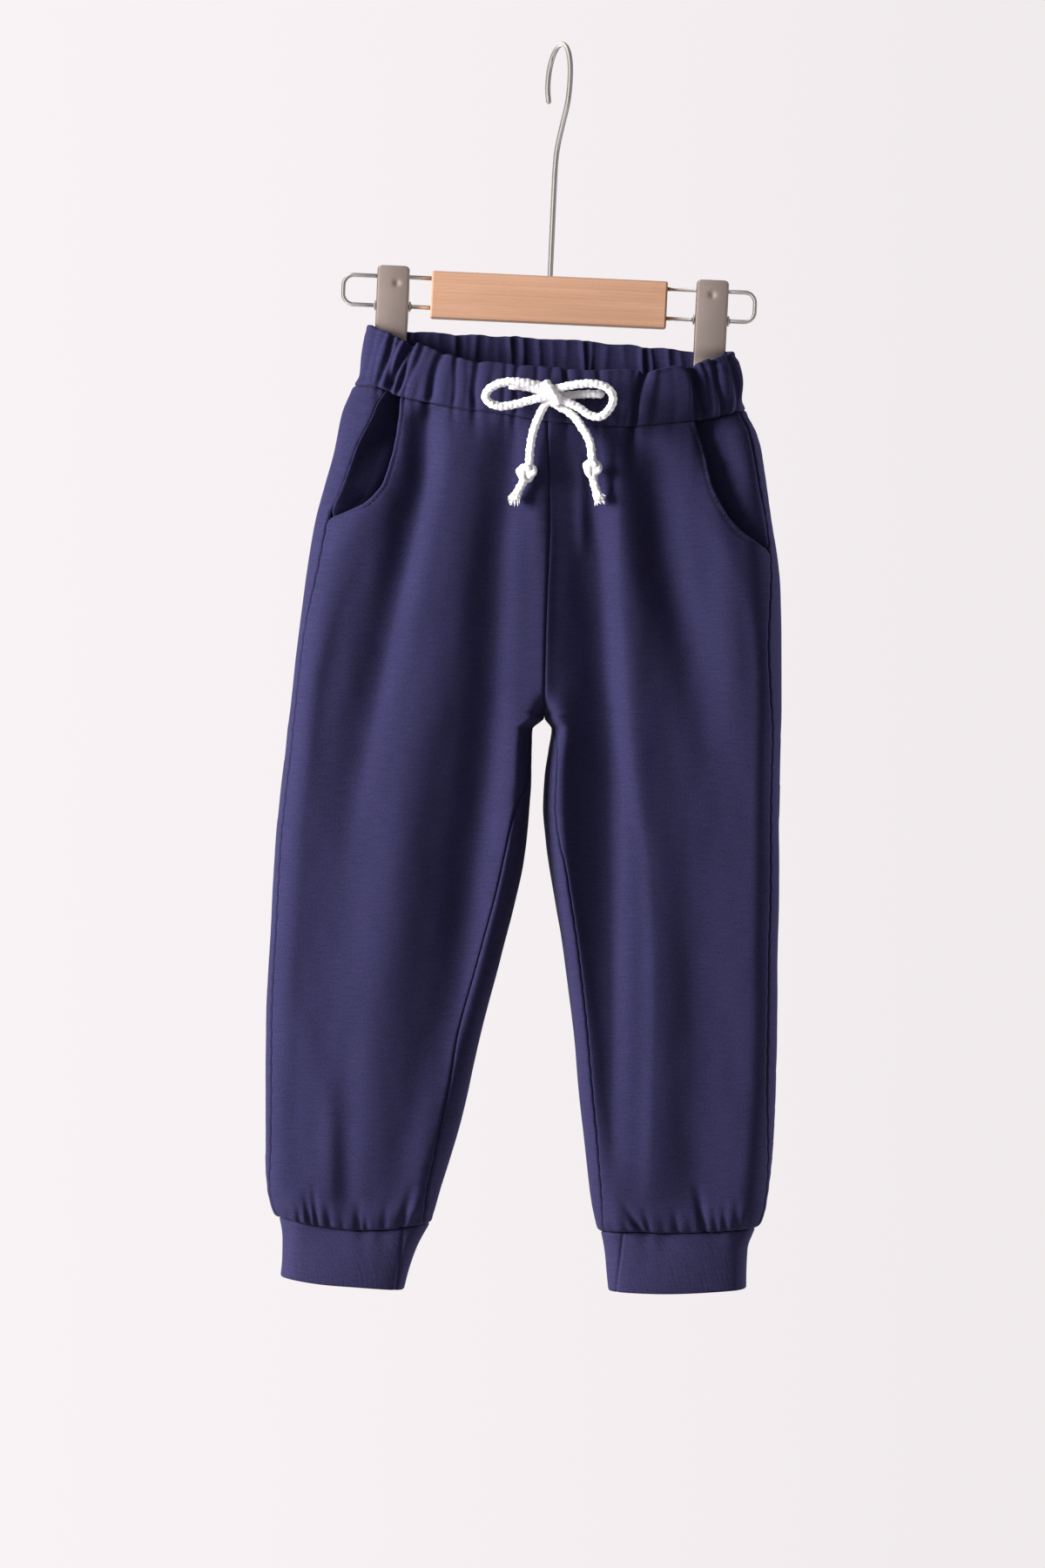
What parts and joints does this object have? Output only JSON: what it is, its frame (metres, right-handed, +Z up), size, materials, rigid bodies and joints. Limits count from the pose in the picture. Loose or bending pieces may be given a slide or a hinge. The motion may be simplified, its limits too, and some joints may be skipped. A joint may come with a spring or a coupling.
{
  "type": "jogger sweatpants on a clip hanger",
  "caption": "Child's navy jogger sweatpants with slant pockets, drawcord and rib cuffs, hanging by the waistband from a wood and wire clip hanger.",
  "frame": {"origin": "inner top of the hook, where it rests on a rail", "axes": "+Z up; the front of the trousers faces -Y; the wearer's left leg is at +X"},
  "size_m": [0.3185, 0.0778, 0.7745],
  "materials": {
    "navy_terry": "navy French terry, fine matt knit face with soft sheen",
    "navy_rib": "navy fine rib, matt",
    "white_cord": "white braided cotton cord",
    "maple": "clear satin lacquer over straight grained pale wood",
    "nickel_wire": "satin nickel plated wire",
    "clip_steel": "satin nickel plated sheet steel"
  },
  "bodies": {
    "root": {"front_panel_left": "navy_terry", "front_panel_right": "navy_terry", "back_panel_left": "navy_terry", "back_panel_right": "navy_terry", "pocket_facing_left": "navy_terry", "pocket_facing_right": "navy_terry", "waistband": "navy_terry", "cuff_left": "navy_rib", "cuff_right": "navy_rib", "bow_knot": "white_cord", "cord_lead_left": "white_cord", "cord_lead_right": "white_cord", "cord_loop_left": "white_cord", "cord_loop_right": "white_cord", "cord_tail_left": "white_cord", "cord_tail_right": "white_cord", "cord_end_left": "white_cord", "cord_end_right": "white_cord", "end_knot_left": "white_cord", "end_knot_right": "white_cord", "hanger_block": "maple", "hook": "nickel_wire", "wire_loop_left": "nickel_wire", "wire_loop_right": "nickel_wire", "clip_front_left": "clip_steel", "clip_front_right": "clip_steel", "clip_back_left": "clip_steel", "clip_back_right": "clip_steel", "spring_left": "clip_steel", "spring_right": "clip_steel", "push_nut_inner_left": "clip_steel", "push_nut_inner_right": "clip_steel", "push_nut_outer_left": "clip_steel", "push_nut_outer_right": "clip_steel"}
  },
  "joints": []
}
